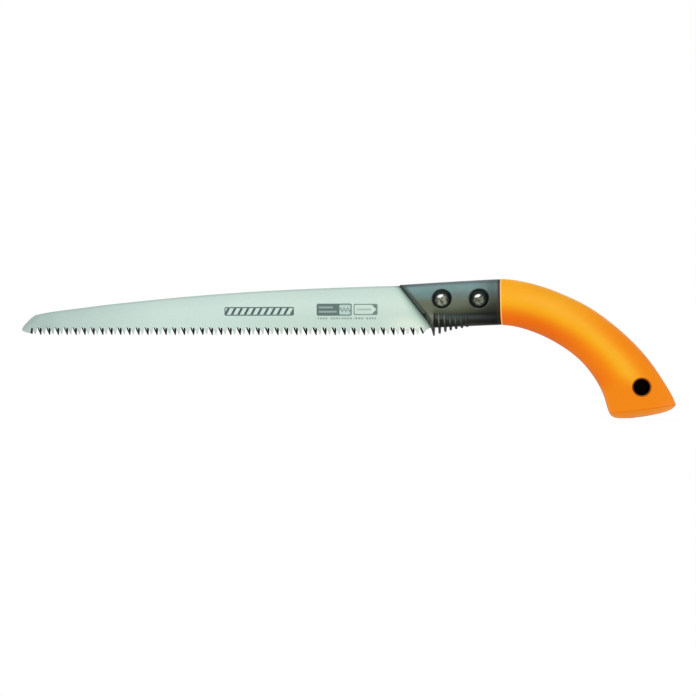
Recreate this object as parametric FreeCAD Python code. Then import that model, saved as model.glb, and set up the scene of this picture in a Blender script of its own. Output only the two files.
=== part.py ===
import FreeCAD, Part
import os, math

os.makedirs("parts", exist_ok=True)

# Pruning saw with a clamped, replaceable straight blade and a curved grip.
# Millimetres. Saved with the origin at the centre of the hang hole, on the
# blade's mid plane. +X runs from the blade tip to the butt, +Y towards the
# screw side, +Z up (spine up, teeth down). Shapes are laid out about a point
# near the front fastener and moved to the hang hole as they are saved.

# ---------------------------------------------------------------- dimensions
blade_t = 1.4            # plate thickness
tooth_pair = 7.472       # pitch of two teeth, one ground on each side
tooth_x0 = -322.5        # first whole tooth ground on the -Y side
tooth_count = 42         # teeth ground on the -Y side, from tooth_x0 on
tooth_tip_z = -26.85
tooth_short = 0.55       # the teeth ground on the +Y side are this much shorter
tooth_depth = 5.2
tooth_rake = 1.05        # tips lean towards the handle
tooth_rake_short = 0.6   # the same on the shorter teeth
tooth_tip_w = 0.33       # half width of the flat tips
tooth_bevel = {-1: 1.5, 1: 1.15}   # width of the facets, by flank
tooth_edge = 0.22        # steel left at the cutting edge
gullet_z = tooth_tip_z + tooth_depth

bolts = {"front": -0.6, "rear": 26.8}   # x of the fastener axes, at z = 0
tang_clear = 0.15        # above and below the tang
tang_side = 0.02         # between the blade's faces and the core halves
half_gap = 0.01          # each core half stops this far from the mid plane

collar_front_x = -34.0   # first section of the loft, before trimming
collar_back_x = 42.6
collar_hw_front = 8.6    # half width at the crease, front
collar_hw_back = 10.5    # the same at the joint with the grip
crease_z = -10.6
joint_line = [(42.55, -19.3), (41.5, 14.6)]   # (x, z) of the sloping back face
joint_gap = 0.25         # between the collar and the grip
ribs = [(-2.95, -25.8), (1.3, -24.4), (5.35, -23.3),   # (front face x... see rib)
        (9.4, -22.4), (13.6, -21.6), (17.6, -20.8)]    # (centre x, tip z)
ribs_t = 1.15
guard_x, guard_tip_z, guard_t = -11.5, -27.4, 9.2
bevel_start = 1.2        # the collar's front edge is square this far out
bevel_depth = 6.6        # along Y

recess_r = 7.3           # counterbores for the fastener heads
recess_flare = 0.35      # widening of the mouth on the nut side
nut_head_r = 6.35
nut_rim_h = 1.3
nut_dome_h = 3.0
nut_barrel_r = 4.0
nut_clear = 0.05
nut_bore_r = 2.55
screw_r = 2.5            # M5 x 0.8
screw_clear = 0.1
screw_pitch = 0.8
thread_depth = 0.46
screw_travel = 8 * screw_pitch   # thread engagement: eight turns
screw_head_r = 4.75
hex_key = 3.0            # across flats
washer_r = 6.75
washer_t = 1.2
washer_edge = 0.2        # chamfer on the rim
seat_left_y = -6.6       # floor of the counterbore on the nut side
seat_right_y = 5.6       # floor of the counterbore on the screw side
barrel_end_y = 5.0       # the barrel nut stops short of the washer

skeleton_hy = 6.0        # half thickness of the core inside the grip
rivet_r = 2.0
rivet_clear = 0.03
rivet_sink = (1.5, 1.6)  # countersink: extra radius, depth
rivets = {"front": (66.0, -5.2), "rear": (97.5, -24.8)}

hole_x, hole_z = 142.9, -63.9   # hang hole
hole_r = 5.0
eyelet_r = 6.7
grip_rim_r = 0.7
grip_mouth_r = 0.6

past_y = 20              # beyond the collar's sides
grip_past_y = 30         # beyond the grip's sides
far = 400                # beyond everything


# ------------------------------------------------------------------- helpers
def vec(x, y, z):
    return FreeCAD.Vector(x, y, z)


def unit(vector):
    result = FreeCAD.Vector(vector)
    result.normalize()
    return result


def lerp(a, b, t):
    return a + (b - a) * t


def curve(vectors):
    result = Part.BSplineCurve()
    result.interpolate(vectors)
    return result


def curve_xz(points):
    return curve([vec(x, 0, z) for x, z in points])


def spline(points):
    return curve_xz(points).toShape()


def poly(points):
    return [Part.makeLine(vec(a[0], 0, a[1]), vec(b[0], 0, b[1]))
            for a, b in zip(points, points[1:])]


def mirrored(points, middle):
    """(y, z) points, the middle ones, then the same points at -y."""
    return points + middle + [(-y, z) for y, z in reversed(points)]


def polygon_face(vectors):
    return Part.Face(Part.makePolygon(vectors + [vectors[0]]))


def plate(edges, y_from, y_to):
    """Closed outline in the XZ plane, made solid between two y."""
    face = Part.Face(Part.Wire(Part.__sortEdges__(edges)))
    face.translate(vec(0, y_from, 0))
    return face.extrude(vec(0, y_to - y_from, 0))


def plate_points(points, half_y):
    return plate(poly(points + [points[0]]), -half_y, half_y)


def cylinder(radius, x, z, y_from, y_to):
    return Part.makeCylinder(radius, y_to - y_from, vec(x, y_from, z), vec(0, 1, 0))


def turned(profile, x, z):
    """(radius, y) outline turned about an axis along Y through (x, z)."""
    face = polygon_face([vec(x + radius, y, z) for radius, y in profile])
    return face.revolve(vec(x, 0, z), vec(0, 1, 0), 360)


def turned_both(profile, x, z):
    """The same from the -Y half of an outline that is symmetric in y."""
    return turned(profile + [(radius, -y) for radius, y in reversed(profile)], x, z)


def largest(shape):
    return max(shape.Solids, key=lambda solid: solid.Volume)


def save(shape, name):
    if shape.ShapeType == "Compound" and len(shape.Solids) == 1:
        shape = shape.Solids[0]
    shape = shape.copy()
    shape.translate(vec(-hole_x, 0, -hole_z))
    shape.exportStep("parts/%s.step" % name)


# --------------------------------------------------------------------- blade
# outlines as (x, z)
spine_end = (-20.0, 10.2)
heel_back = (-9.6, -21.2)
tang_root = (-5.0, -14.0)
tang_end = (33.0, 6.4)
nose = [(-337.1, -22.5), (-335.9, -20.3), (-332.6, -16.6), (-329.2, -13.5),
        (-327.0, -11.9), (-324.1, -10.75)]
spine = [nose[-1], (-312.2, -8.7), (-291.9, -6.3), (-266.8, -3.3),
         (-241.9, -0.9), (-217.3, 1.4), (-192.9, 3.4), (-168.7, 5.1),
         (-144.8, 6.5), (-121.2, 7.6), (-97.7, 8.5), (-74.5, 9.2),
         (-51.5, 9.8), (-34.0, 10.1), spine_end]
under_nose = [nose[0], (-337.1, -23.2), (-336.0, -23.9), (-334.3, -24.6),
              (-332.5, -25.05), (-330.6, -25.5)]
heel = [(-13.6, -23.5), (-11.4, -21.9), heel_back]   # after the last tooth
tang = [tang_root, (-1.0, -11.4), (5.0, -10.2), (30.0, -9.0), (36.0, -8.2),
        (38.6, -5.0), (38.8, -0.5), (37.4, 4.4), tang_end]

# The first tooth runs into the nose and the last into the heel, so each has
# one ground flank. By index: (tip raised by, tip moved by, flanks ground)
both_flanks = (-1, 1)
end_teeth = {-1: (0.75, 0.0, (1,)), tooth_count - 1: (0.85, -0.4, (-1,))}


def tooth_list():
    """(centre x, tip x, tip z, ground side, flanks ground), nose to heel."""
    teeth = []
    for i in range(-1, tooth_count):
        x = tooth_x0 + i * tooth_pair
        raised, moved, flanks = end_teeth.get(i, (0.0, 0.0, both_flanks))
        teeth.append((x, x + tooth_rake + moved, tooth_tip_z + raised, -1, flanks))
        if i < tooth_count - 1:
            x += tooth_pair / 2
            teeth.append((x, x + tooth_rake_short, tooth_tip_z + tooth_short,
                          1, both_flanks))
    return teeth


def facet(centre_x, tip_x, tip_z, side, flank):
    """Wedge that leaves tooth_edge of steel at the flank and fades inwards."""
    gullet = vec(centre_x + flank * tooth_pair / 4, 0, gullet_z)
    tip = vec(tip_x + flank * tooth_tip_w, 0, tip_z)
    along = unit(tip - gullet)
    inward = vec(-flank, 0, 0)
    inward = unit(inward - along * inward.dot(along))
    start = gullet - along * 0.25
    half_t = blade_t / 2
    wide = tooth_bevel[flank]
    slope = (blade_t - tooth_edge) / wide
    over, past = 0.17, 0.35      # tool beyond the blade's face and its flank
    section = [(wide + over / slope, half_t + over),
               (0, -half_t + tooth_edge),
               (-past, -half_t + tooth_edge - past * slope),
               (-past, half_t + over)]      # (inward, y for side +1)
    ring = [start + inward * depth + vec(0, y * side, 0) for depth, y in section]
    return polygon_face(ring).extrude(along * (tooth_depth + 1.6))


def make_blade():
    teeth = tooth_list()
    lower = list(under_nose)
    for centre_x, tip_x, tip_z, side, flanks in teeth:
        if -1 in flanks:
            lower.append((centre_x - tooth_pair / 4, gullet_z))
            lower.append((tip_x - tooth_tip_w, tip_z))
        if 1 in flanks:
            lower.append((tip_x + tooth_tip_w, tip_z))
    heel_start = lower[-1]
    edges = [spline(nose), spline(spine)] + poly(lower)
    edges.append(spline([heel_start, (heel_start[0] + 1.1, -25.0)] + heel))
    edges += poly([heel_back, tang_root])
    edges.append(spline(tang))
    edges += poly([tang_end, spine_end])
    blade = plate(edges, -blade_t / 2, blade_t / 2)

    for flank in (-1, 1):
        for ground in (-1, 1):
            tools = [facet(centre_x, tip_x, tip_z, side, flank)
                     for centre_x, tip_x, tip_z, side, flanks in teeth
                     if side == ground and flank in flanks]
            blade = blade.cut(Part.makeCompound(tools))
    blade = largest(blade)
    for x in bolts.values():
        blade = blade.cut(cylinder(nut_barrel_r + nut_clear, x, 0, -2, 2))
    return blade


# -------------------------------------------------------------------- collar
collar_stations = [collar_front_x, -20.0, -8.0, 5.0, 20.0, 32.0, collar_back_x, 45.0]

# The collar's front line, top to bottom (x, z), and its bevelled runs
front_bend = (-12.2, -16.5)
front_line = [(-32.6, 12.0), (-32.6, 9.4), (-31.2, 7.3), front_bend,
              (-8.8, -22.6), (-7.6, -27.6), (-6.7, -27.6)]
front_bevels = [((-31.2, 7.3), front_bend, 3.4),      # (top, bottom, width)
                (front_bend, (-7.7, -26.8), 2.6)]


def collar_fraction(x):
    return (x - collar_front_x) / (collar_back_x - collar_front_x)


def collar_half_width(x):
    return lerp(collar_hw_front, collar_hw_back, collar_fraction(x))


def collar_top_z(x):
    return 10.75 + 3.85 * (1 - max(0.0, 1 - collar_fraction(x)) ** 1.15)


def collar_bottom_z(x):
    return -22.9 + 3.7 * min(1.0, collar_fraction(x)) ** 0.8


def collar_section(x):
    """Domed upper flanks down to a crease, then flat flanks to a round base."""
    half_w = collar_half_width(x)
    top, bottom = collar_top_z(x), collar_bottom_z(x)
    # (share of the half width, share of the rise from crease to top)
    dome = [(0.965, 0.33), (0.90, 0.58), (0.78, 0.80), (0.60, 0.93), (0.34, 0.985)]
    rise = top - crease_z
    upper = [(half_w, crease_z), (half_w - 0.05, crease_z + 0.12 * rise)]
    upper += [(width * half_w, crease_z + height * rise) for width, height in dome]
    base = [(0.60 * half_w, bottom + 1.7), (0.46 * half_w, bottom + 0.55),
            (0.26 * half_w, bottom + 0.1)]
    lower = mirrored(base, [(0, bottom)])

    def bow(points):
        return curve([vec(x, y, z) for y, z in points]).toShape()

    def line(a, b):
        return Part.makeLine(vec(x, a[0], a[1]), vec(x, b[0], b[1]))

    return Part.Wire([bow(mirrored(upper, [(0, top)])),
                      line((-half_w, crease_z), lower[-1]),
                      bow(list(reversed(lower))),
                      line(lower[0], (half_w, crease_z))])


def rib(x, tip_z, thickness):
    """Slab centred on x, across the lower flanks and below the collar."""
    half_w = collar_half_width(x)
    bottom = collar_bottom_z(x)
    drop = bottom - tip_z
    flank = [(half_w - 0.3, -9.4), (half_w + 0.35, -11.3),
             (half_w * 0.74 + 0.9, bottom + 3.4), (half_w * 0.56 + 0.5, bottom + 0.6),
             (half_w * 0.42, bottom - 0.60 * drop), (half_w * 0.24, bottom - 0.93 * drop)]
    ring = [vec(x - thickness / 2, y, z) for y, z in mirrored(flank, [(0, tip_z)])]
    return polygon_face(ring).extrude(vec(thickness, 0, 0))


def joint_x(z, gap=0.0):
    (x_low, z_low), (x_high, z_high) = joint_line
    return x_low + (x_high - x_low) * (z - z_low) / (z_high - z_low) + gap


def front_bevel(top, bottom, side, wide):
    """Wedge off one run of the front line: 'wide' in side view."""
    run = vec(bottom[0] - top[0], 0, bottom[1] - top[1])
    along = unit(run)
    back = vec(-along.z, 0, along.x)
    if back.x < 0:
        back = back * -1
    start = vec(top[0], 0, top[1]) - along * 6
    reach, ahead = 14, 3         # tool size outwards and in front of the line
    inner = vec(0, bevel_start * side, 0)
    outer = vec(0, (bevel_start + reach) * side, 0)
    ring = [start + inner, start + back * (wide / bevel_depth * reach) + outer,
            start - back * ahead + outer, start - back * ahead + inner]
    return polygon_face(ring).extrude(along * (run.Length + 8.5))


def make_collar():
    collar = Part.makeLoft([collar_section(x) for x in collar_stations], True, True)
    guard = rib(guard_x, guard_tip_z, guard_t)      # trimmed to the front line
    collar = collar.fuse([guard] + [rib(x, tip_z, ribs_t) for x, tip_z in ribs])
    outline = front_line + [(front_line[-1][0], -30.0), (joint_x(-30), -30),
                            (joint_x(25), 25), (front_line[0][0], 25)]
    collar = collar.common(plate_points(outline, past_y))
    for side in (-1, 1):
        for top, bottom, wide in front_bevels:
            collar = collar.cut(front_bevel(top, bottom, side, wide))
    return collar


# -------------------------------------------------- grip outline and skeleton
# lower and upper edges of the grip in side view, (x, z) from front to butt
low_curve = curve_xz([
    (42.3, -19.25), (44.5, -19.35), (53.2, -20.5), (60.5, -22.5), (67.7, -25.0),
    (75.3, -28.4), (83.5, -32.9), (90.3, -37.3), (96.0, -41.6), (100.8, -46.1),
    (104.7, -50.5), (108.2, -54.8), (111.0, -59.1), (113.5, -63.5), (115.5, -67.9),
    (117.3, -72.2), (118.7, -76.6), (120.1, -80.9), (120.8, -83.1)])
high_curve = curve_xz([
    (40.9, 14.65), (43.0, 14.6), (49.4, 14.25), (56.7, 13.0), (64.0, 11.4),
    (71.2, 9.3), (78.5, 6.75), (85.7, 3.9), (92.9, 0.65), (100.1, -3.0),
    (107.3, -7.1), (114.6, -11.8), (121.7, -17.5), (126.6, -21.8), (133.9, -28.4),
    (142.4, -37.1), (149.3, -45.7), (155.5, -54.4), (160.6, -63.0), (165.0, -71.6),
    (167.3, -76.4)])

# fractions along the grip, and the skeleton's edges as shares of its height
skeleton_stations = [0.0, 0.15, 0.3, 0.45, 0.58, 0.70]
skeleton_low, skeleton_high = 0.27, 0.75
skeleton_front_x = 38.0
skeleton_end = 0.76      # sets how far the rounded end bulges


def point_along(line, fraction):
    distance = line.length() * fraction
    return line.value(line.parameterAtDistance(distance, line.FirstParameter))


def grip_point(fraction, height):
    """Point at a fraction of the grip's length and a share of its height."""
    return lerp(point_along(low_curve, fraction), point_along(high_curve, fraction),
                height)


def make_skeleton():
    low = [grip_point(f, skeleton_low) for f in skeleton_stations]
    high = [grip_point(f, skeleton_high) for f in skeleton_stations]
    low[0] = vec(skeleton_front_x, 0, low[0].z)
    high[0] = vec(skeleton_front_x, 0, high[0].z)
    bulge = grip_point(skeleton_end, 0.5) - grip_point(skeleton_stations[-1], 0.5)
    end_middle = (low[-1] + high[-1]) * 0.5 + bulge
    edges = [curve(low).toShape(), Part.Arc(low[-1], end_middle, high[-1]).toShape(),
             curve(high).toShape(), Part.makeLine(low[0], high[0])]
    return plate(edges, -skeleton_hy, skeleton_hy)


# ---------------------------------------------------------------------- core
def tang_pocket():
    """The outline of the tang, a little bigger, open to the front and below."""
    rear = [(33.1, tang_end[1] + tang_clear), (37.6, 4.5), (39.0, -0.5),
            (38.8, -5.1), (36.1, -8.4), (30.0, -9.0 - tang_clear),
            (5.0, -10.2 - tang_clear), (-1.1, -11.4 - tang_clear), (-5.1, -14.2)]
    front_top = (-60, 10.1 + tang_clear)
    edges = poly([front_top, (spine_end[0], spine_end[1] + tang_clear), rear[0]])
    edges.append(spline(rear))
    edges += poly([rear[-1], (-9.4, -21.3), (-9.4, -40), (-60, -40), front_top])
    return plate(edges, -blade_t / 2 - tang_side, blade_t / 2 + tang_side)


def rivet(x, z, radius):
    """Plain shank, countersunk flush with both faces of the skeleton."""
    wider, depth = rivet_sink
    return turned_both([(0, -skeleton_hy), (radius + wider, -skeleton_hy),
                        (radius, -skeleton_hy + depth)], x, z)


def make_core():
    core = make_collar().fuse(make_skeleton())
    for x in bolts.values():
        core = core.cut(cylinder(recess_r, x, 0, -past_y, seat_left_y))
        core = core.cut(cylinder(recess_r, x, 0, seat_right_y, past_y))
        cone = turned([(0, -past_y), (recess_r + 12.0, -past_y),
                       (recess_r, -8.0), (0, -8.0)], x, 0)
        core = core.cut(cone.common(
            cylinder(recess_r + recess_flare, x, 0, -past_y, 0)))
        core = core.cut(cylinder(nut_barrel_r + nut_clear, x, 0,
                                 -past_y, barrel_end_y + 0.3))
        core = core.cut(cylinder(screw_r + screw_clear, x, 0, 0, past_y))
    core = core.cut(tang_pocket())
    for x, z in rivets.values():
        core = core.cut(rivet(x, z, rivet_r + rivet_clear))
    return core


def core_half(core, y_from):
    """What lies in a slab that starts at y_from and ends far out or at the gap."""
    corner = vec(-far, y_from, -far)
    slab = Part.makeBox(2 * far, far - half_gap, 2 * far, corner)
    return largest(core.common(slab))


# ---------------------------------------------------------------------- grip
grip_stations = [0.0, 0.04, 0.10, 0.2, 0.32, 0.44, 0.56, 0.68, 0.8, 0.9, 1.0]
# rounded butt: (depth, height scale, thickness scale, lean to the low side)
butt_steps = [(1.15, 0.972, 0.95, 0.2), (2.3, 0.925, 0.87, 0.6),
              (3.5, 0.84, 0.75, 1.2), (4.7, 0.64, 0.54, 2.0),
              (5.5, 0.34, 0.27, 2.8), (5.75, 0.12, 0.09, 3.2)]


def grip_section(fraction, scale=1.0, shift=vec(0, 0, 0), thin=1.0):
    """Section across the grip, blending from the front shape to the butt's."""
    low, high = grip_point(fraction, 0), grip_point(fraction, 1)
    up = unit(high - low)
    height = (high - low).Length * scale
    half_w = 11.0 + 2.6 * math.sin(min(fraction / 0.55, 1.0) * math.pi / 2)
    half_w = (half_w + 0.6 * fraction) * thin
    ridge = 0.315 + 0.05 * min(fraction / 0.5, 1.0)     # height of the widest part
    # (share of the half width, share of the height)
    front = [(0.00, 0.0), (0.31, 0.010), (0.55, 0.047), (0.78, 0.125),
             (0.935, ridge - 0.10), (0.998, ridge), (0.99, ridge + 0.10),
             (0.93, 0.65), (0.82, 0.81), (0.63, 0.93), (0.34, 0.985), (0.00, 1.0)]
    butt = [(0.00, 0.0), (0.40, 0.008), (0.68, 0.045), (0.88, 0.13),
            (0.975, 0.26), (1.00, 0.40), (1.00, 0.53), (0.985, 0.72),
            (0.90, 0.86), (0.70, 0.95), (0.40, 0.992), (0.00, 1.0)]
    blend = min(max((fraction - 0.55) / 0.40, 0.0), 1.0)
    blend = blend * blend * (3 - 2 * blend)
    base = (low + high) * 0.5 - up * (height * 0.5) + shift

    def flank(side):
        return [base + up * (lerp(a[1], b[1], blend) * height)
                + vec(0, side * lerp(a[0], b[0], blend) * half_w, 0)
                for a, b in zip(front, butt)]

    outline = Part.BSplineCurve()
    outline.interpolate(Points=flank(1) + list(reversed(flank(-1)[1:-1])),
                        PeriodicFlag=True)
    return Part.Wire([outline.toShape()])


def rim_edges(shape):
    """Outer edges of the front rim, beside the collar."""
    found = []
    for edge in shape.Edges:
        box = edge.BoundBox
        if (box.XMin > collar_back_x - 1.4 and box.XMax < collar_back_x + 1.2
                and max(-box.YMin, box.YMax) > skeleton_hy + 1.5):
            found.append(edge)
    return found


def mouth_edges(shape):
    """Edges round both mouths of the hang hole."""
    reach = eyelet_r + 0.5
    found = []
    for edge in shape.Edges:
        box = edge.BoundBox
        if (box.XMin > hole_x - reach and box.XMax < hole_x + reach
                and box.ZMin > hole_z - reach and box.ZMax < hole_z + reach
                and box.XLength + box.ZLength > 6 and box.YLength < 4
                and min(abs(box.YMin), abs(box.YMax)) > 8):
            found.append(edge)
    return found


def make_grip():
    grip = Part.makeLoft([grip_section(f) for f in grip_stations], True, False)
    up = unit(grip_point(1, 1) - grip_point(1, 0))
    out = vec(up.z, 0, -up.x)
    if out.z > 0:
        out = out * -1
    steps = [grip_section(1.0, scale, out * depth - up * lean, thin)
             for depth, scale, thin, lean in butt_steps]
    grip = grip.fuse(Part.makeLoft([grip_section(1.0)] + steps, True, False))
    grip = grip.cut(make_skeleton())
    grip = grip.cut(cylinder(eyelet_r, hole_x, hole_z, -grip_past_y, grip_past_y))
    # clear of the collar's back face
    grip = grip.cut(plate_points([(20, -40), (joint_x(-40, joint_gap), -40),
                                  (joint_x(30, joint_gap), 30), (20, 30)],
                                 grip_past_y))
    grip = grip.makeFillet(grip_rim_r, rim_edges(grip))
    return grip.makeFillet(grip_mouth_r, mouth_edges(grip))


def make_eyelet():
    return turned_both([(hole_r, -11.4), (hole_r + 0.5, -12.2),
                        (eyelet_r - 0.25, -12.4), (eyelet_r, -12.1)], hole_x, hole_z)


# ---------------------------------------------------------------- fasteners
def make_nut(x):
    """Barrel nut with a domed head on the -Y side."""
    seat = seat_left_y
    profile = [(0, seat - nut_rim_h - nut_dome_h)]
    for degrees in range(80, -10, -10):
        angle = math.radians(degrees)
        profile.append((nut_head_r * math.cos(angle),
                        seat - nut_rim_h - nut_dome_h * math.sin(angle)))
    profile += [(nut_head_r, seat - 0.35), (nut_head_r - 0.35, seat),
                (nut_barrel_r, seat), (nut_barrel_r, barrel_end_y - 0.4),
                (nut_barrel_r - 0.4, barrel_end_y), (nut_bore_r + 0.35, barrel_end_y),
                (nut_bore_r, barrel_end_y - 0.35), (nut_bore_r, seat + 0.8),
                (0, seat - 0.6)]
    return turned(profile, x, 0)


def make_screw(x):
    """Button head screw, its thread drawn as separate rings."""
    seat = seat_right_y + washer_t
    tip = barrel_end_y - screw_travel - 0.6
    root_r = screw_r - thread_depth
    profile = [(0, tip), (screw_r - 0.7, tip)]
    y = tip + 0.5
    while y < barrel_end_y + 0.2:
        profile += [(screw_r, y), (screw_r, y + 0.12), (root_r, y + 0.4),
                    (root_r, y + 0.5)]
        y += screw_pitch
    profile += [(screw_r, y), (screw_r, seat), (screw_head_r, seat),
                (screw_head_r, seat + 0.5), (screw_head_r - 0.35, seat + 1.35),
                (screw_head_r - 1.15, seat + 2.1), (screw_head_r - 2.1, seat + 2.6),
                (0, seat + 2.75)]
    corner_r = hex_key / 2 / math.cos(math.radians(30)) + 0.02
    corners = []
    for i in range(6):
        angle = math.radians(60 * i + 30)
        corners.append(vec(x + corner_r * math.cos(angle), seat + 0.9,
                           corner_r * math.sin(angle)))
    socket = polygon_face(corners).extrude(vec(0, 5, 0))
    return turned(profile, x, 0).cut(socket)


def make_washer(x):
    bore_r = screw_r + 0.15
    bottom, top = seat_right_y, seat_right_y + washer_t
    return turned([(bore_r, bottom), (washer_r - washer_edge, bottom),
                   (washer_r, bottom + washer_edge), (washer_r, top - washer_edge),
                   (washer_r - washer_edge, top), (bore_r, top)], x, 0)


# -------------------------------------------------------------------- pieces
save(make_blade(), "blade")
whole_core = make_core()
save(core_half(whole_core, -far), "core_left")         # -Y, nut side
save(core_half(whole_core, half_gap), "core_right")    # +Y, screw side
save(make_grip(), "grip")
save(make_eyelet(), "hang_eyelet")
for place, (x, z) in rivets.items():
    save(rivet(x, z, rivet_r), "rivet_" + place)
for place, x in bolts.items():
    save(make_nut(x), "nut_" + place)
    save(make_screw(x), "screw_" + place)
    save(make_washer(x), "washer_" + place)
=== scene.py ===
"""A hand saw in side view: a toothed steel blade, a moulded collar and a rubber grip.

The saw lies along X in the XZ plane. The blade's tip is at low X and its teeth point
down (-Z). The collar and its two fasteners follow, then the grip, which bends down to a
hang hole at high X. The camera stands on the -Y side. Sizes are in metres.
"""
import functools
import math

import bpy
import numpy as np
from mathutils import Matrix, Vector

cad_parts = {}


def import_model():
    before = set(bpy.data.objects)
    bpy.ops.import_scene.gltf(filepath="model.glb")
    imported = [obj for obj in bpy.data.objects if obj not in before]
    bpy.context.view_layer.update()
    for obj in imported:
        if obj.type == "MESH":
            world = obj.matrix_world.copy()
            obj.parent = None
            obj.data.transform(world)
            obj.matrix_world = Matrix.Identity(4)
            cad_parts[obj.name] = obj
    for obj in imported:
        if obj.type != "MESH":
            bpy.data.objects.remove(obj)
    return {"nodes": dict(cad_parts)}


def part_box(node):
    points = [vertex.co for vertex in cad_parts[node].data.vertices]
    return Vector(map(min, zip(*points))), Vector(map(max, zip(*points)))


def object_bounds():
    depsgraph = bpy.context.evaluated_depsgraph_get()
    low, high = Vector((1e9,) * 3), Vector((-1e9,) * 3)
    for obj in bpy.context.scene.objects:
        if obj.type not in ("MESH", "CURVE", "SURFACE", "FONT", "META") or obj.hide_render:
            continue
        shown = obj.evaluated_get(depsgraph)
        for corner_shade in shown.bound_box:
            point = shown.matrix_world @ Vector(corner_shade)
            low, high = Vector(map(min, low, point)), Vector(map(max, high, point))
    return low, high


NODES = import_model()["nodes"]
CAD_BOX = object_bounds()
scene = bpy.context.scene


def centre(piece):
    low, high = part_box(piece)
    return (low + high) / 2


# ---------------------------------------------------------------- landmarks
BLADE_LO, BLADE_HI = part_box("blade")
BLADE_LENGTH = BLADE_HI.x - BLADE_LO.x
BOLT_FRONT = centre("nut_front")
BOLT_REAR = centre("nut_rear")
HOLE = centre("hang_eyelet")

# The collar and the grip are laid out from a datum near the front fastener.
DATUM_X, DATUM_Z = HOLE.x - 0.1429, HOLE.z + 0.0639
FRONT_LINE = ((DATUM_X - 0.0312, DATUM_Z + 0.0073),  # the collar's front, top to bottom
              (DATUM_X - 0.0122, DATUM_Z - 0.0165))
CREASE = -0.0106      # height of the crease along the collar, from the datum
JOINT_SLOPE = 0.0310  # lean of the joint between collar and grip, x per z

# The ribs under the crease: x from the datum, strength of the painted highlight on the crest
FRONT_RIBS = [(-0.00275, 1.0), (0.0015, 0.80)]
REAR_RIBS = [(0.00555, 0.85), (0.0096, 0.55), (0.0138, 0.40), (0.0178, 0.20)]


# ------------------------------------------------------------ shader graphs
class Field:
    """A node's output. Arithmetic on it adds Math nodes."""

    def __init__(self, graph, socket):
        self.graph = graph
        self.socket = socket

    def __add__(self, other):
        return self.graph.math("ADD", self, other)

    def __radd__(self, other):
        return self.graph.math("ADD", other, self)

    def __sub__(self, other):
        return self.graph.math("SUBTRACT", self, other)

    def __rsub__(self, other):
        return self.graph.math("SUBTRACT", other, self)

    def __mul__(self, other):
        return self.graph.math("MULTIPLY", self, other)

    def __truediv__(self, other):
        return self.graph.math("DIVIDE", self, other)

    def __abs__(self):
        return self.graph.math("ABSOLUTE", self)

    def max(self, other):
        return self.graph.math("MAXIMUM", self, other)

    def min(self, other):
        return self.graph.math("MINIMUM", self, other)

    def fract(self):
        return self.graph.math("FRACT", self)

    def span(self, start, end, before=0.0, after=1.0, smooth=True):
        """Go from before to after as this field goes from start to end."""
        inputs = enumerate((self, start, end, before, after))
        return self.graph.field("ShaderNodeMapRange", inputs,
                                interpolation_type="SMOOTHSTEP" if smooth else "LINEAR")

    def rise(self, start, end, peak=1.0):
        return self.span(start, end, after=peak)

    def fall(self, start, end, peak=1.0):
        return self.span(start, end, before=peak, after=0.0)

    def ramp(self, stops):
        """Colour ramp through stops of (position, grey or linear RGB)."""
        node = self.graph.add("ShaderNodeValToRGB", {0: self})
        elements = node.color_ramp.elements
        while len(elements) < len(stops):
            elements.new(0.5)
        for element, (position, colour) in zip(elements, stops):
            element.position = position
            rgb = colour if isinstance(colour, tuple) else (colour,) * 3
            element.color = (*rgb, 1.0)
        return Field(self.graph, node.outputs[0])

    def tones(self, *stops):
        """Colour ramp through stops of (position, red, green, blue), 0-255 sRGB."""
        return self.ramp([(position, srgb(*rgb)) for position, *rgb in stops])

    def blend(self, low, high, mode="MIX"):
        """Colour low where this field is 0, high where it is 1."""
        return self.graph.mix(self, low, high, mode)

    def paint(self, colour, mask):
        """This colour, covered by another where the mask is 1."""
        return self.graph.mix(mask, self, colour)

    def shade(self, factor):
        return self.graph.mix(1.0, self, factor, "MULTIPLY")


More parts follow.
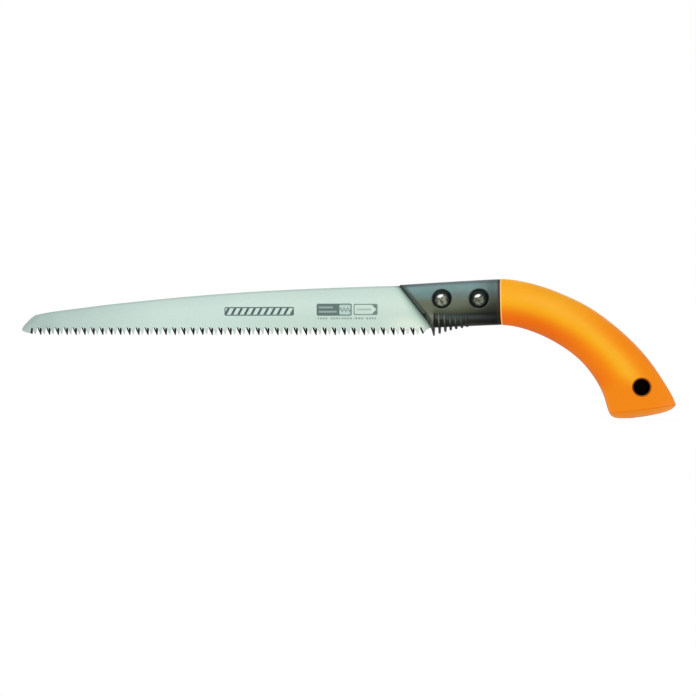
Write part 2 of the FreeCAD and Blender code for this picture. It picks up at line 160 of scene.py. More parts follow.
class Graph:
    """The node tree of a material or a world, with short ways to add nodes."""

    def __init__(self, owner, output_kind):
        self.owner = owner
        owner.use_nodes = True
        self.tree = owner.node_tree
        self.tree.nodes.clear()
        self.output = self.tree.nodes.new(output_kind)

    def put(self, socket, value):
        if isinstance(value, Field):
            self.tree.links.new(value.socket, socket)
        elif isinstance(value, tuple) and socket.type == "RGBA":
            socket.default_value = (*value, 1.0)
        else:
            socket.default_value = value

    def add(self, kind, inputs=(), **settings):
        node = self.tree.nodes.new(kind)
        for name, value in settings.items():
            setattr(node, name, value)
        for key, value in dict(inputs).items():
            self.put(node.inputs[key], value)
        return node

    def field(self, kind, inputs=(), output=0, **settings):
        return Field(self, self.add(kind, inputs, **settings).outputs[output])

    def math(self, operation, *values):
        return self.field("ShaderNodeMath", enumerate(values), operation=operation)

    def mix(self, factor, first, second, mode="MIX"):
        # inputs 6 and 7 are the node's colour pair
        return self.field("ShaderNodeMix", {0: factor, 6: first, 7: second}, output=2,
                          data_type="RGBA", blend_type=mode)

    def split(self, vector):
        node = self.add("ShaderNodeSeparateXYZ", {0: vector})
        return [Field(self, socket) for socket in node.outputs]

    def geometry(self, output="Position"):
        return self.field("ShaderNodeNewGeometry", output=output)

    def stretch(self, vector, scale):
        return self.field("ShaderNodeMapping", {"Vector": vector, "Scale": scale})

    def noise(self, vector, scale, detail=3, rough=0.5, distortion=0.0):
        return self.field("ShaderNodeTexNoise", {
            "Vector": vector, "Scale": scale, "Detail": detail,
            "Roughness": rough, "Distortion": distortion})

    def occlusion(self, distance):
        return self.field("ShaderNodeAmbientOcclusion", {"Distance": distance},
                          output="AO", samples=8)

    def bump(self, height, strength, distance, **other):
        return self.field("ShaderNodeBump", {
            "Strength": strength, "Distance": distance, "Height": height, **other})

    def mix_shaders(self, factor, first, second):
        return self.field("ShaderNodeMixShader", {0: factor, 1: first, 2: second})

    def finish(self, shader):
        self.put(self.output.inputs[0], shader)
        return self.owner

    def principled(self, inputs):
        return self.finish(self.field("ShaderNodeBsdfPrincipled", inputs))


def new_material(name):
    return Graph(bpy.data.materials.new(name), "ShaderNodeOutputMaterial")


def srgb(*rgb):
    """Linear colour from 0-255 sRGB."""
    def linear(value):
        value /= 255.0
        return value / 12.92 if value <= 0.04045 else ((value + 0.055) / 1.055) ** 2.4
    return tuple(linear(value) for value in rgb)


def distance(across, up):
    return across.graph.math("SQRT", across * across + up * up)


def union(masks):
    return functools.reduce(Field.max, masks)


def beside_line(x, z, start, end):
    """Signed distance from a line, positive on the right going from start to end
    as seen from -Y."""
    run, climb = end[0] - start[0], end[1] - start[1]
    length = math.hypot(run, climb)
    return (x - start[0]) * (climb / length) + (z - start[1]) * (-run / length)


def rounded_box(x, z, middle, half, radius, soft):
    """1 inside a rounded box in the XZ plane, 0 outside."""
    over_x = abs(x - middle[0]) - (half[0] - radius)
    over_z = abs(z - middle[1]) - (half[1] - radius)
    outside = distance(over_x.max(0.0), over_z.max(0.0))
    inside = over_x.max(over_z).min(0.0)
    return (outside + inside - radius).span(-soft, soft, before=1.0, after=0.0, smooth=False)


def stripes(x, z, pitch, duty, soft, slope=0.0):
    """Parallel slanted strokes: 1 on a stroke, 0 between."""
    phase = ((x + z * slope) / pitch).fract()
    return abs(phase - 0.5).fall(duty / 2 - soft / pitch, duty / 2 + soft / pitch)


# -------------------------------------------------------------------- blade
def spine_profile(stations=24, inset=0.0002):
    """Height of the blade's back edge, read along the mesh's own edges."""
    mesh = NODES["blade"].data
    points = np.array([vertex.co for vertex in mesh.vertices])
    pairs = np.array([tuple(edge.vertices) for edge in mesh.edges])
    left, right = points[pairs[:, 0]], points[pairs[:, 1]]
    swap = (left[:, 0] > right[:, 0])[:, None]
    left, right = np.where(swap, right, left), np.where(swap, left, right)
    xs = np.linspace(BLADE_LO.x + inset, BLADE_HI.x - inset, stations)
    heights = []
    for x in xs:
        hit = (left[:, 0] <= x) & (right[:, 0] >= x) & (right[:, 0] - left[:, 0] > 1e-9)
        part = (x - left[hit, 0]) / (right[hit, 0] - left[hit, 0])
        heights.append(float((left[hit, 2] + part * (right[hit, 2] - left[hit, 2])).max()))
    return xs, heights


def below_spine(along, z):
    """Distance down from the back edge, whose height is held in a ramp."""
    xs, heights = spine_profile()
    low, high = min(heights) - 0.002, max(heights) + 0.002
    stops = [((x - BLADE_LO.x) / BLADE_LENGTH, (height - low) / (high - low))
             for x, height in zip(xs, heights)]
    return along.ramp(stops) * (high - low) + low - z


def blade_print(x, z, base):
    """Plain marks with no lettering: a hatched bar, a panel, an arrow, a dotted line."""
    ink, grey = srgb(44, 68, 70), srgb(74, 94, 90)
    tip, top = BLADE_LO.x, BLADE_HI.z

    def patch(left, right, upper, lower, radius, soft=0.00014):
        """Rounded box: x from the tip, then drops below the top of the blade."""
        return rounded_box(x, z, (tip + (left + right) / 2, top - (upper + lower) / 2),
                           ((right - left) / 2, (lower - upper) / 2), radius, soft)

    # hatched bar
    outer = patch(0.1677, 0.2227, 0.0156, 0.0222, radius=0.0012)
    inner = patch(0.1685, 0.2219, 0.0164, 0.0214, radius=0.0006)
    hatch = stripes(x, z, pitch=0.0052, duty=0.40, soft=0.00015, slope=-0.55)
    bar = (outer * (1.0 - inner)).max(inner * hatch)
    base = base.paint(ink, bar * 0.92)
    # panel: dark with two plain light dashes, and a light end with a zigzag
    panel = patch(0.2404, 0.2675, 0.0132, 0.0224, radius=0.0012)
    light = patch(0.2580, 0.2666, 0.0141, 0.0215, radius=0.0008)
    dashes = patch(0.2420, 0.2530, 0.0154, 0.0167, radius=0.0004).max(
        patch(0.2420, 0.2560, 0.0187, 0.0200, radius=0.0004))
    zigzag_pitch, zigzag_drop, zigzag_slope = 0.0028, 0.0192, 0.0052
    saw = abs((x / zigzag_pitch).fract() - 0.5)
    off_zigzag = abs(z - ((top - zigzag_drop) + saw * zigzag_slope))
    zigzag = off_zigzag.fall(0.0004, 0.0007) * light
    base = base.paint(grey, panel * 0.9)
    base = base.paint(srgb(190, 208, 200), dashes * 0.45)
    base = base.paint(srgb(182, 204, 196), light * 0.92)
    base = base.paint(grey, zigzag * 0.85)
    # arrow in a frame: filled corners leave a point towards the grip, at arrow_x
    arrow_x, arrow_drop = 0.2864, 0.0177
    frame_outer = patch(0.2690, 0.2873, 0.0135, 0.0219, radius=0.0012)
    frame_inner = patch(0.2697, 0.2866, 0.0142, 0.0212, radius=0.0008)
    past_head = x - (tip + arrow_x) + abs(z - (top - arrow_drop))
    corners = frame_inner * past_head.rise(-0.0002, 0.0002)
    shaft = patch(0.2712, 0.2824, 0.0170, 0.0184, radius=0.0004) * 0.35
    outline = (frame_outer * (1.0 - frame_inner)).max(corners)
    base = base.paint(grey, outline * 0.85)
    base = base.paint(grey, shaft)
    # dotted line, its dots in groups
    dots = (stripes(x, z, pitch=0.0021, duty=0.62, soft=0.0002)
            * stripes(x, z, pitch=0.0092, duty=0.86, soft=0.0002))
    row = patch(0.2399, 0.2861, 0.0237, 0.0251, radius=0.0002, soft=0.0002)
    return base.paint(grey, row * dots * 0.62)


def blade_material():
    mat = new_material("blade_steel")
    position = mat.geometry()
    x, y, z = mat.split(position)
    normal_y = mat.split(mat.geometry("True Normal"))[1]
    # fine cross grinding and slow clouds
    cross = mat.noise(mat.stretch(position, (1.0, 1.0, 0.03)), scale=1500, detail=2, rough=0.6)
    grain = mat.noise(position, scale=900, rough=0.65)
    cloud = mat.noise(position, scale=26, rough=0.55)
    # painted light: a tone along the blade, 0 at the tip and 1 at the root
    along = (x - BLADE_LO.x) / BLADE_LENGTH
    tone = along.tones((0.0, 158, 178, 170), (0.12, 178, 199, 191), (0.30, 196, 216, 208),
                       (0.50, 198, 217, 208), (0.66, 196, 213, 203), (0.80, 200, 216, 204),
                       (0.90, 212, 226, 210))
    base = tone.paint(srgb(190, 214, 208), cloud.rise(0.38, 0.62, peak=0.30))
    base = base.paint(srgb(172, 190, 182), cross.rise(0.3, 0.7) * 0.12)
    base = base.paint(srgb(225, 238, 230), grain.rise(0.35, 0.7) * 0.10)
    # back edge: a dark line along it, then a softer shade
    under = below_spine(along, z)
    base = base.paint(srgb(150, 166, 160), under.fall(0.0003, 0.0022, peak=0.55))
    base = base.paint(srgb(160, 178, 174), under.fall(0.0005, 0.011, peak=0.22))
    # duller low band on the root half
    low_band = under.rise(0.013, 0.024, peak=0.30) * along.rise(0.35, 0.55)
    base = base.paint(srgb(176, 196, 182), low_band)
    # lighter low root, duller tip
    root = ((x - DATUM_X).rise(-0.050, -0.028)
            * (z - DATUM_Z).rise(-0.010, -0.019, peak=0.55))
    base = base.paint(srgb(222, 232, 216), root)
    point = along.fall(0.02, 0.13) * under.rise(0.004, 0.013, peak=0.28)
    base = base.paint(srgb(158, 176, 170), point)
    # the marks are on the -Y face only
    base = base.paint(blade_print(x, z, base), y.fall(-0.0001, 0.0001))
    # painted shadow beside the collar, reaching further down low, with a cool painted tint
    # close in
    ahead = beside_line(x, z, *FRONT_LINE)
    reach = z.span(DATUM_Z - 0.018, DATUM_Z + 0.008, before=0.0088, after=0.0042, smooth=False)
    base = base.shade((ahead / reach).ramp([
        (0.0, 0.20), (0.06, 0.30), (0.14, 0.40), (0.21, 0.53), (0.29, 0.64),
        (0.37, 0.74), (0.52, 0.87), (0.75, 0.96), (1.0, 1.0)]))
    shadow_tint = (0.84, 0.96, 0.95)
    base = base.paint(base.shade(shadow_tint), ahead.fall(0.0006, 0.0075))
    # ground tooth facets: low faces that lean away from Y, painted dark as a painted
    # reflection of the dark studio sides
    leaning = abs(normal_y).fall(0.86, 0.95)
    facet = leaning * z.fall(BLADE_LO.z + 0.0060, BLADE_LO.z + 0.0066)
    warm = mat.noise(position, scale=70, detail=2)
    # painted dark reflection on the facets, mottled
    dark_reflection = warm.rise(0.45, 0.68).blend(srgb(24, 32, 28), srgb(36, 38, 31))
    tooth_row = z.fall(BLADE_LO.z + 0.0040, BLADE_LO.z + 0.0058, peak=0.45)
    base = base.paint(srgb(186, 192, 186), tooth_row)
    base = base.paint(dark_reflection, facet)
    return mat.principled({
        "Base Color": base,
        "Metallic": 0.75 - facet * 0.70,
        "Specular IOR Level": 0.5 - facet * 0.35,
        "Roughness": cross.span(0.25, 0.75, before=0.30, after=0.40),
        "Normal": mat.bump(cross, strength=0.06, distance=0.0003)})


# ------------------------------------------------------------------- collar
def collar_tone(x, z):
    """Painted reflection and shade over the collar's flank and underside, x and z from the
    datum.
    """
    # height of the collar's top along x; the ramp holds it enlarged
    ramp_scale = 50
    top_start, top_length = -0.034, 0.0766
    top_heights = [(0.0, 0.01075), (0.25, 0.01183), (0.5, 0.01287), (0.75, 0.01382),
                   (1.0, 0.0146)]
    top = ((x + -top_start) / top_length).ramp(
        [(place, height * ramp_scale) for place, height in top_heights]) / ramp_scale
    # height on the flank: 0 at the crease, 1 at the top
    height = (z - CREASE) / (top - CREASE)
    # painted reflection on the flank: brown-grey by the crease, blue-grey higher up, darker at
    # the very top
    flank = height.tones(
        (0.0, 66, 72, 55), (0.10, 80, 86, 66), (0.23, 95, 101, 81), (0.36, 102, 108, 91),
        (0.48, 103, 114, 105), (0.61, 106, 125, 123), (0.735, 115, 143, 141),
        (0.86, 117, 144, 145), (0.93, 98, 115, 116), (0.985, 66, 74, 76))
    # below the crease, painted reflection and shade: by the ribs, behind them, and ahead of
    # them
    depth = 0.010
    down = (CREASE - z) / depth
    ribbed = down.tones((0.0, 68, 73, 59), (0.10, 60, 66, 57), (0.26, 74, 84, 80),
                        (0.42, 76, 86, 81), (0.56, 58, 65, 60), (0.74, 40, 44, 41),
                        (0.90, 22, 24, 22))
    rear = down.tones((0.0, 40, 44, 32), (0.12, 42, 46, 42), (0.26, 60, 64, 67),
                      (0.38, 56, 60, 63), (0.50, 30, 32, 30), (0.68, 20, 21, 16),
                      (0.84, 50, 52, 48))
    lower = x.rise(0.008, 0.024).blend(ribbed, rear)
    front = down.tones((0.0, 108, 113, 97), (0.26, 120, 123, 111), (0.52, 108, 112, 102),
                       (0.78, 72, 79, 71), (1.0, 34, 42, 35))
    lower = x.rise(-0.0068, -0.0062).blend(front, lower)
    base = z.rise(CREASE - 0.0010, CREASE + 0.0012).blend(lower, flank)
    # painted highlight on a shoulder low at the front
    shoulder_highlight = (x.fall(-0.0100, -0.0040, peak=0.85) * z.rise(-0.0030, -0.0085)
                * z.rise(CREASE - 0.0010, CREASE + 0.0002))
    base = base.paint(srgb(104, 109, 93), shoulder_highlight)
    # painted shade in the lower rear corner, under painted light on the rear flank
    corner_shade = (x.rise(0.006, 0.036, peak=0.66) * z.rise(0.0020, -0.0090)
              * z.rise(CREASE - 0.0018, CREASE - 0.0002))
    rear_flank_light = x.rise(0.020, 0.036) * z.rise(0.004, 0.0105, peak=0.22)
    base = base.paint(srgb(112, 130, 128), rear_flank_light)
    base = base.shade(1.0 - corner_shade)
    # cool patch of painted reflection half way up, round the front fastener
    cool_reflection = (x.rise(-0.022, -0.015) * x.fall(0.002, 0.012)
            * (height.rise(0.38, 0.52) * height.fall(0.70, 0.82, peak=0.34)))
    base = base.paint(srgb(98, 144, 140), cool_reflection)
    # painted shade: darker front of the top edge, and a dark upright dip near the rear
    dip_x = 0.0356
    brow = x.fall(-0.028, -0.010, peak=0.24) * height.rise(0.84, 0.95)
    dip = abs(x - dip_x).fall(0.0010, 0.0042, peak=0.14) * z.rise(-0.003, 0.002)
    base = base.shade(1.0 - brow.max(dip))
    # painted shade, darker towards the joint with the grip
    back = x.rise(0.018, 0.0425)
    return base.shade(1.0 - back * height.span(0.0, 0.9, before=0.78, after=0.36))


def collar_ribs(x, z, base):
    """Ribs below the crease: painted light on crests, painted shade between and in a slot
    ahead.
    """
    def crests(ribs):
        return union([abs(x - rib_x).fall(0.00022, 0.00062, peak=crest_light)
                      for rib_x, crest_light in ribs])

    first, later = crests(FRONT_RIBS), crests(REAR_RIBS)
    zone = (z.fall(CREASE - 0.0012, CREASE - 0.0002) * x.fall(0.0165, 0.0190)
            * x.rise(-0.0071, -0.0064))
    # the painted shade in the gaps fades rearwards and upwards, least at the very front
    gap = zone * x.span(-0.003, 0.012, before=0.80, after=0.12)
    gap = gap * z.span(CREASE - 0.0050, CREASE - 0.0034, before=1.0, after=0.10)
    deep = z.span(-0.0175, -0.0125, before=1.0, after=0.35)
    gap = gap * deep.max(x.fall(-0.0045, -0.0030))
    base = base.paint(srgb(14, 16, 13), gap)
    # the painted highlights on the front crests reach up to the crease, on the later ones they
    # stop short
    first = first * z.span(CREASE - 0.0036, CREASE - 0.0008, before=1.0, after=0.45)
    later = later * z.fall(CREASE - 0.0052, CREASE - 0.0034, peak=0.75)
    crest = (zone * first.max(later)
             * z.span(-0.0200, -0.0165, before=0.10, after=0.70))
    base = base.paint(srgb(130, 135, 121), crest)
    slot_x = -0.0060
    slot = (abs(x + -slot_x).fall(0.00025, 0.00065, peak=0.8)
            * z.fall(CREASE - 0.0004, CREASE + 0.0006))
    return base.paint(srgb(14, 18, 14), slot)


def collar_front(world_x, y, world_z, z, normal_x, base):
    """The bevelled front face in painted reflection: dark in the middle, with a painted light
    strip on each side.
    """
    front = normal_x.rise(-0.14, -0.36)
    sideways = abs(y).rise(0.0022, 0.0050)
    middle = z.rise(-0.019, -0.010).blend(srgb(52, 60, 51), srgb(22, 32, 25))
    sides = z.span(-0.024, 0.008, smooth=False).tones(
        (0.0, 40, 44, 38), (0.3, 62, 68, 58), (0.6, 62, 74, 62), (1.0, 50, 68, 61))
    band = sideways.blend(middle, sides)
    strip = abs(y).rise(0.0040, 0.0054) * abs(y).fall(0.0064, 0.0076, peak=0.30)
    band = band.paint(srgb(88, 98, 86), strip)
    band = band.paint(srgb(30, 42, 34), abs(y).rise(0.0070, 0.0080, peak=0.55))
    # a narrow return behind the front line counts as front face too
    behind = 0.0 - beside_line(world_x, world_z, *FRONT_LINE)
    narrow = behind.fall(0.0014, 0.0024) * abs(y).fall(0.0072, 0.0080)
    front = front.max(narrow)
    # painted shade: the flank is darker just behind it, above the crease
    step = behind.span(0.0036, 0.0052, before=0.64, after=1.0).max(
        z.rise(CREASE + 0.0010, CREASE))
    return base.shade(step).paint(band, front)


def fastener_recess(world_x, world_z, bolt, base):
    """Painted shade in a dark well, a faint painted halo above, a painted highlight on the lip
    below, towards +X.
    """
    across, up = world_x - bolt.x, world_z - bolt.z
    radius = distance(across, up)
    well = radius.fall(0.00690, 0.00722)
    base = base.paint(up.rise(-0.003, 0.005).blend(srgb(10, 13, 7), srgb(16, 28, 28)), well)
    halo = radius.fall(0.0071, 0.0080, peak=0.16)
    base = base.paint(srgb(50, 60, 56), halo * up.rise(-0.004, 0.006))
    lip_radius = 0.00744
    lip = (abs(radius - lip_radius).fall(0.00014, 0.00038)
           * (across * 0.5 - up).rise(0.002, 0.006))
    return base.paint(srgb(140, 144, 128), lip * 0.95)


def core_material():
    mat = new_material("core_moulding")
    position = mat.geometry()
    world_x, y, world_z = mat.split(position)
    x = world_x - DATUM_X
    z = world_z - DATUM_Z
    normal_x = mat.split(mat.geometry("True Normal"))[0]
    grain = mat.field("ShaderNodeTexVoronoi", {"Vector": position, "Scale": 2400})
    mottle = mat.noise(position, scale=70, detail=4, rough=0.6)
    base = collar_ribs(x, z, collar_tone(x, z))
    base = collar_front(world_x, y, world_z, z, normal_x, base)
    # dark line where the collar meets the grip, with a brown fringe of painted reflection from
    # the grip
    joint_x = 0.04198
    joint = x + z * JOINT_SLOPE - joint_x
    base = base.paint(srgb(70, 44, 14), joint.rise(-0.0026, -0.0014, peak=0.40))
    base = base.paint(srgb(20, 16, 9), joint.rise(-0.0014, -0.0004, peak=0.85))
    for bolt in (BOLT_FRONT, BOLT_REAR):
        base = fastener_recess(world_x, world_z, bolt, base)
    base = base.paint(srgb(60, 66, 58), mottle.rise(0.3, 0.7) * 0.10)
    bevel = mat.field("ShaderNodeBevel", {"Radius": 0.0005}, samples=4)
    return mat.principled({
        "Base Color": base,
        "Roughness": mottle.span(0.3, 0.7, before=0.42, after=0.52),
        "Specular IOR Level": z.span(CREASE - 0.002, CREASE + 0.005, before=0.08, after=0.22),
        "Normal": mat.bump(grain, strength=0.10, distance=0.0002, Normal=bevel)})


# --------------------------------------------------------------------- grip
# The grip bends round a centre below the datum.
BEND_X, BEND_Z = DATUM_X + 0.043, DATUM_Z - 0.101
# Line across the butt where its dome begins, from low X to high X
DOME_LINE = ((HOLE.x - 0.0221, HOLE.z - 0.0192), (HOLE.x + 0.0244, HOLE.z - 0.0125))
DOME_START = 0.0  # distance beyond that line


def bend_coordinates(mat, x, z):
    """The angle round the bend, and 0 to 1 from the inside of the bend to the outside."""
    side, up = x - BEND_X, z - BEND_Z
    radius = distance(side, up)
    turn = mat.math("ARCTAN2", side, up)
    inner = (turn.span(0.0, 0.536, before=0.0816, after=0.0792, smooth=False)
             + turn.span(0.85, 1.40, before=0.0, after=0.0013, smooth=False))
    # outer radius along the turn; the ramp holds it enlarged
    full_turn, ramp_scale = 1.5, 7.0
    outer = (turn / full_turn).ramp([
        (0.0, 0.8092), (0.3049, 0.7924), (0.504, 0.8029), (0.7273, 0.8393),
        (0.8901, 0.8785), (0.9168, 0.8869)]) / ramp_scale
    return turn, (radius - inner) / (outer - inner)


def grip_material():
    mat = new_material("grip_rubber")
    position = mat.geometry()
    x, _, z = mat.split(position)
    mottle = mat.noise(position, scale=45, detail=4, rough=0.6)
    fine = mat.noise(position, scale=1800, detail=2, rough=0.6)
    turn, across = bend_coordinates(mat, x, z)
    # painted light: red-orange shade on the inside, a yellow highlight along the middle,
    # orange shade outside
    fore = across.tones(
        (0.0, 212, 98, 4), (0.08, 227, 102, 1), (0.15, 234, 105, 2), (0.22, 237, 112, 3),
        (0.30, 239, 129, 5), (0.38, 242, 150, 9), (0.46, 245, 166, 18), (0.54, 247, 173, 32),
        (0.62, 248, 177, 48), (0.70, 248, 174, 46), (0.78, 245, 168, 34),
        (0.87, 238, 161, 26), (0.96, 231, 155, 26))
    aft = across.tones(
        (0.0, 218, 114, 8), (0.08, 235, 117, 2), (0.16, 239, 121, 4), (0.24, 240, 127, 5),
        (0.31, 243, 137, 7), (0.38, 244, 152, 12), (0.46, 246, 168, 24), (0.54, 247, 174, 34),
        (0.62, 247, 170, 34), (0.70, 243, 153, 22), (0.78, 241, 138, 10),
        (0.87, 238, 132, 7), (0.96, 232, 130, 10))
    # calmer painted highlight on the outer half next to the collar
    calm = turn.fall(0.10, 0.26, peak=0.55) * across.rise(0.45, 0.62)
    fore = fore.paint(srgb(247, 170, 26), calm)
    tone = turn.rise(0.38, 0.92).blend(fore, aft)
    # even orange on the butt, starting later towards the outside
    butt = (turn + across.rise(0.35, 0.60, peak=-0.07)).rise(1.03, 1.20)
    base = tone.paint(srgb(240, 133, 8), butt)
    base = base.paint(srgb(236, 134, 10), mottle.rise(0.3, 0.7) * 0.08)
    # the domed butt: a painted highlight before it, the dome in slightly duller painted light,
    # painted shade in a fine crease
    beyond = beside_line(x, z, *DOME_LINE)
    flush_highlight = beyond.rise(-0.0060, -0.0010) * across.rise(0.62, 0.90)
    base = base.paint(srgb(245, 136, 50), flush_highlight * 0.5)
    dome_tone = x.rise(HOLE.x + 0.002, HOLE.x + 0.022).blend(srgb(233, 134, 24),
                                                          srgb(240, 142, 48))
    base = base.paint(dome_tone, beyond.rise(DOME_START, DOME_START + 0.0003))
    crease = abs(beyond - DOME_START).fall(0.00015, 0.0006, peak=0.42)
    base = base.paint(srgb(208, 98, 14), crease)
    # painted shade: a thin brown line where the surface turns away
    facing = mat.field("ShaderNodeLayerWeight", {"Blend": 0.5}, output="Facing")
    rim_tone = across.rise(0.2, 0.8).blend(srgb(176, 92, 20), srgb(190, 126, 38))
    base = base.paint(rim_tone, facing.rise(0.68, 0.94, peak=0.80))
    # painted highlight on the rounded edge at the joint with the collar
    edge_x = 0.04223
    joint = x - DATUM_X + (z - DATUM_Z) * JOINT_SLOPE - edge_x
    fillet_highlight = joint.rise(0.0001, 0.0004) * joint.fall(0.0006, 0.0013)
    base = base.paint(srgb(255, 214, 150), fillet_highlight * 0.75)
    return mat.principled({
        "Base Color": base,
        "Roughness": mottle.span(0.3, 0.7, before=0.46, after=0.56),
        "Specular IOR Level": 0.10,
        "Normal": mat.bump(fine, strength=0.05, distance=0.0003)})


def eyelet_material():
    """Black plastic, with painted shade in brown on the outer rim of its -Y face."""
    mat = new_material("eyelet_plastic")
    position = mat.geometry()
    speckle = mat.noise(position, scale=300)
    x, y, z = mat.split(position)
    radius = distance(x - HOLE.x, z - HOLE.z)
    black = speckle.blend((0.0012, 0.0010, 0.0008), (0.004, 0.0032, 0.0024))
    # painted shade: brown standing for the grip's orange edge in shade, on the eyelet's rim
    rim = radius.rise(0.00555, 0.00630) * y.fall(-0.0121, -0.0119)
    return mat.principled({
        "Base Color": black.paint(srgb(158, 90, 42), rim),
        "Roughness": 0.85,
        "Specular IOR Level": 0.0,
        "Normal": mat.bump(speckle, strength=0.1, distance=0.0002)})


# ---------------------------------------------------------------- fasteners
def nut_reflections(x, z, bolt, spot_radii):
    """A bright spot of painted reflection just below the middle of a nut, and a slanted oval
    of painted highlight above it.
    """
    across, up = x - (bolt.x + 0.0001), z - (bolt.z - 0.0011)
    spot = distance(across, up).fall(*spot_radii)
    # glint: centre from the spot's, cosine and sine of its slant, half length and width
    glint_x, glint_z = -0.0009, 0.0029
    slant_cos, slant_sin = 0.94, 0.34
    half_length, half_width = 0.0026, 0.0012
    side, rise = across + -glint_x, up - glint_z
    lengthwise = side * slant_cos + rise * slant_sin
    crosswise = rise * slant_cos - side * slant_sin
    oval = distance(lengthwise / half_length, crosswise / half_width)
    return spot, oval.fall(0.40, 1.15)


def nut_material():
    mat = new_material("nut_steel")
    position = mat.geometry()
    x, _, z = mat.split(position)
    cloud = mat.noise(mat.stretch(position, (1, 0.2, 1)), scale=420, rough=0.65,
                      distortion=0.8)
    fine = mat.noise(position, scale=1400, rough=0.6)
    # the last pair is where each bright spot of painted reflection starts and ends its fade
    marks = [nut_reflections(x, z, BOLT_FRONT, (0.0031, 0.0054)),
             nut_reflections(x, z, BOLT_REAR, (0.0024, 0.0049))]
    spot, shine = (union(masks) for masks in zip(*marks))
    tone = cloud.rise(0.42, 0.58).blend(srgb(62, 66, 54), srgb(140, 144, 126))
    # the rear nut is duller
    rear = x.rise(BOLT_REAR.x - 0.008, BOLT_REAR.x - 0.0079, peak=0.30)
    tone = tone.paint(srgb(40, 46, 38), rear)
    # painted dark reflection round the bright spot
    tone = spot.blend(srgb(20, 26, 22), tone)
    tone = tone.paint(srgb(246, 249, 246), shine * 0.95)
    return mat.principled({
        "Base Color": tone,
        "Metallic": 0.35 + shine * 0.5,
        "Roughness": cloud.span(0.3, 0.7, before=0.28, after=0.40),
        "Specular IOR Level": 0.25,
        "Normal": mat.bump(fine, strength=0.10, distance=0.0002)})


def steel_material(name, tone, rough, crown_y=None):
    """Clouded metal with painted shade in its corners and, given a screw's crown, in its
    socket.
    """
    mat = new_material(name)
    position = mat.geometry()
    tooling = mat.noise(position, scale=900, rough=0.6)
    cloud = mat.noise(position, scale=260, rough=0.6)
    # painted shade where corners close in
    exposed = mat.occlusion(0.0022).span(0.25, 0.85, before=0.06, after=1.0)
    dull_tone = tuple(value * 0.78 for value in tone)
    metal = cloud.rise(0.35, 0.65).blend(dull_tone, tone).shade(exposed)
    if crown_y is not None:
        # painted shade: the hex socket's floor is far below the head's crown
        x, y, z = mat.split(position)
        inside = union([distance(x - bolt.x, z - bolt.z).fall(0.00174, 0.00180)
                        for bolt in (BOLT_FRONT, BOLT_REAR)])
        socket = inside * y.fall(crown_y - 0.0012, crown_y - 0.0004, peak=0.93)
        metal = metal.paint((0.004, 0.004, 0.004), socket)
    return mat.principled({
        "Base Color": metal,
        "Metallic": 1.0,
        "Roughness": cloud.span(0.3, 0.7, before=rough * 0.8, after=rough * 1.25),
        "Normal": mat.bump(tooling, strength=0.12, distance=0.0003)})


def give(material, *pieces):
    for piece in pieces:
        slots = NODES[piece].data.materials
        slots.clear()
        slots.append(material)


give(blade_material(), "blade")
give(core_material(), "core_left", "core_right")
give(grip_material(), "grip")
give(eyelet_material(), "hang_eyelet")
give(nut_material(), "nut_front", "nut_rear")
give(steel_material("screw_steel", (0.55, 0.55, 0.54), rough=0.30,
                    crown_y=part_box("screw_front")[1].y), "screw_front", "screw_rear")
give(steel_material("washer_steel", (0.40, 0.40, 0.39), rough=0.36),
     "washer_front", "washer_rear")
give(steel_material("rivet_aluminium", (0.62, 0.62, 0.64), rough=0.40),
     "rivet_front", "rivet_rear")


# -------------------------------------------------------------------- stage
FLOOR_HALF = 6.0
FLOOR_Z = CAD_BOX[0].z - 0.0005
SHADE_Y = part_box("hang_eyelet")[1].y + 0.0006  # just behind the eyelet
SHADE_RADIUS = 0.0064
SHADE_CORNERS = 32


def staged(name, corners, material):
    """A single flat face that belongs to the stage."""
    mesh = bpy.data.meshes.new(name)
    mesh.from_pydata(corners, [], [tuple(range(len(corners)))])
    mesh.materials.append(material)
    obj = bpy.data.objects.new(name, mesh)
    scene.collection.objects.link(obj)


def floor_material():
    """Glowing white, with a very slight painted shadow close to the saw."""
    mat = new_material("stage_floor")
    glow = mat.occlusion(0.03).span(0.35, 1.0, before=0.985, after=1.0)
    return mat.finish(mat.field("ShaderNodeEmission",
                                {"Color": (1.0, 1.0, 1.0), "Strength": glow}))


def hole_shade_material():
    """Painted shade in the hang hole: black to a camera in front, nothing from behind and to
    all other rays.
    """
    mat = new_material("stage_hole_shade")
    backfacing = mat.geometry("Backfacing")
    camera_ray = mat.field("ShaderNodeLightPath", output="Is Camera Ray")
    black = mat.field("ShaderNodeEmission", {"Color": (0.0022, 0.0012, 0.0008)})
    clear = mat.field("ShaderNodeBsdfTransparent")
    return mat.finish(mat.mix_shaders(camera_ray * (1.0 - backfacing), clear, black))


staged("stage_floor",
       [(side_x * FLOOR_HALF, side_y * FLOOR_HALF, FLOOR_Z)
        for side_x, side_y in ((-1, -1), (1, -1), (1, 1), (-1, 1))],
       floor_material())
angles = [2 * math.pi * i / SHADE_CORNERS for i in range(SHADE_CORNERS)]
staged("stage_hole_shade",
       [(HOLE.x + SHADE_RADIUS * math.cos(angle), SHADE_Y,
         HOLE.z + SHADE_RADIUS * math.sin(angle)) for angle in angles],
       hole_shade_material())


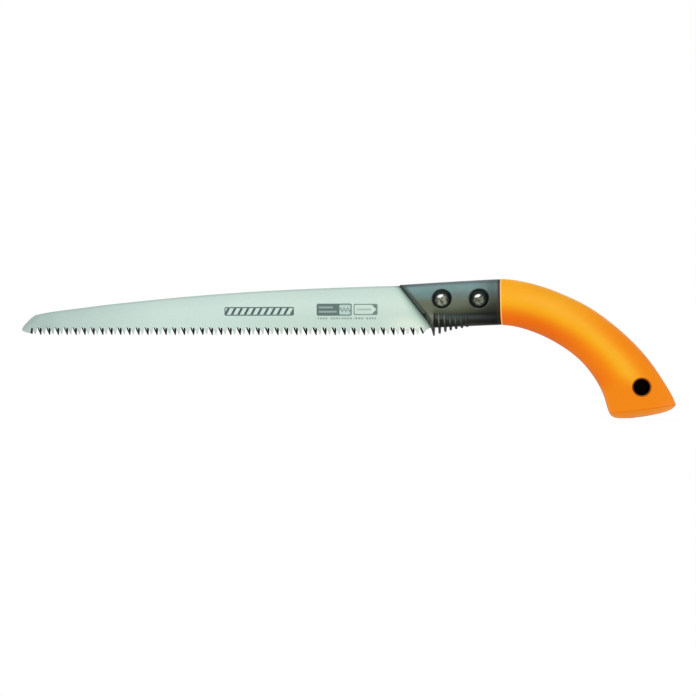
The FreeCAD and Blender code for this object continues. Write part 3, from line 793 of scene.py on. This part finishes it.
# -------------------------------------------------------------------- world
def build_world():
    """White to the camera, an even studio to soft surfaces, and to shiny ones a bright
    screen that fades to dark at the sides and below."""
    scene.world = bpy.data.worlds.new("studio")
    sky = Graph(scene.world, "ShaderNodeOutputWorld")

    def scaled(stops, brightest):
        """Colours divided by the background's strength, to fit in a ramp."""
        return [(place, tuple(min(value / brightest, 1.0) for value in colour))
                for place, colour in stops]

    path = sky.add("ShaderNodeLightPath")
    x, _, z = sky.split(sky.field("ShaderNodeTexCoord", output="Generated"))
    height = sky.math("MULTIPLY_ADD", z, 0.5, 0.5)  # 0 straight down, 1 straight up
    soft_strength, shiny_strength = 1.2, 2.5
    soft = height.ramp(scaled([
        (0.0, (0.70, 0.66, 0.60)), (0.35, (0.78, 0.76, 0.72)), (0.5, (0.95, 0.96, 0.95)),
        (0.7, (1.08, 1.10, 1.10)), (1.0, (1.12, 1.15, 1.16))], soft_strength))
    shiny = height.ramp(scaled([
        (0.0, (0.03, 0.03, 0.03)), (0.22, (0.10, 0.10, 0.09)), (0.36, (0.40, 0.40, 0.36)),
        (0.47, (0.84, 0.86, 0.82)), (0.55, (1.00, 1.02, 1.00)), (0.70, (2.3, 2.4, 2.4)),
        (0.82, (1.7, 1.8, 1.8)), (1.0, (0.25, 0.28, 0.28))], shiny_strength))
    screen_shift = 0.06  # the screen's middle lies this far towards -X
    sides = abs(x + screen_shift).ramp([
        (0.0, 1.0), (0.25, 1.0), (0.48, 0.85), (0.66, 0.45), (0.85, 0.10), (1.0, 0.05)])

    def background(colour, strength):
        return sky.field("ShaderNodeBackground", {0: colour, 1: strength})

    white_light = background((1.0, 1.0, 1.0), 1.0)
    soft_light = background(soft, soft_strength)
    shiny_light = background(shiny, sides * shiny_strength)
    lighting = sky.mix_shaders(Field(sky, path.outputs["Is Glossy Ray"]),
                               soft_light, shiny_light)
    sky.finish(sky.mix_shaders(Field(sky, path.outputs["Is Camera Ray"]),
                               lighting, white_light))


build_world()
scene.view_settings.view_transform = "Standard"
scene.view_settings.look = "None"

# ------------------------------------------------------------------- camera
CAMERA_TURN = math.radians(10.78)  # round Z, from -Y towards +X
CAMERA_ROLL = math.radians(0.16)
CAMERA_DISTANCE = 0.9
CAMERA_AIM = Vector((HOLE.x - 0.2154, 0.0, HOLE.z + 0.0273))

lens = bpy.data.cameras.new("camera")
lens.sensor_width = 36.0
lens.lens = 61.54
lens.clip_start = 0.01
lens.clip_end = 50
camera = bpy.data.objects.new("camera", lens)
scene.collection.objects.link(camera)
away = Vector((math.sin(CAMERA_TURN), -math.cos(CAMERA_TURN), 0.0))
camera.location = CAMERA_AIM + away * CAMERA_DISTANCE
camera.rotation_mode = "QUATERNION"
level = (-away).to_track_quat("-Z", "Y").to_matrix().to_quaternion()
camera.rotation_quaternion = level @ Matrix.Rotation(CAMERA_ROLL, 3, "Z").to_quaternion()
scene.camera = camera
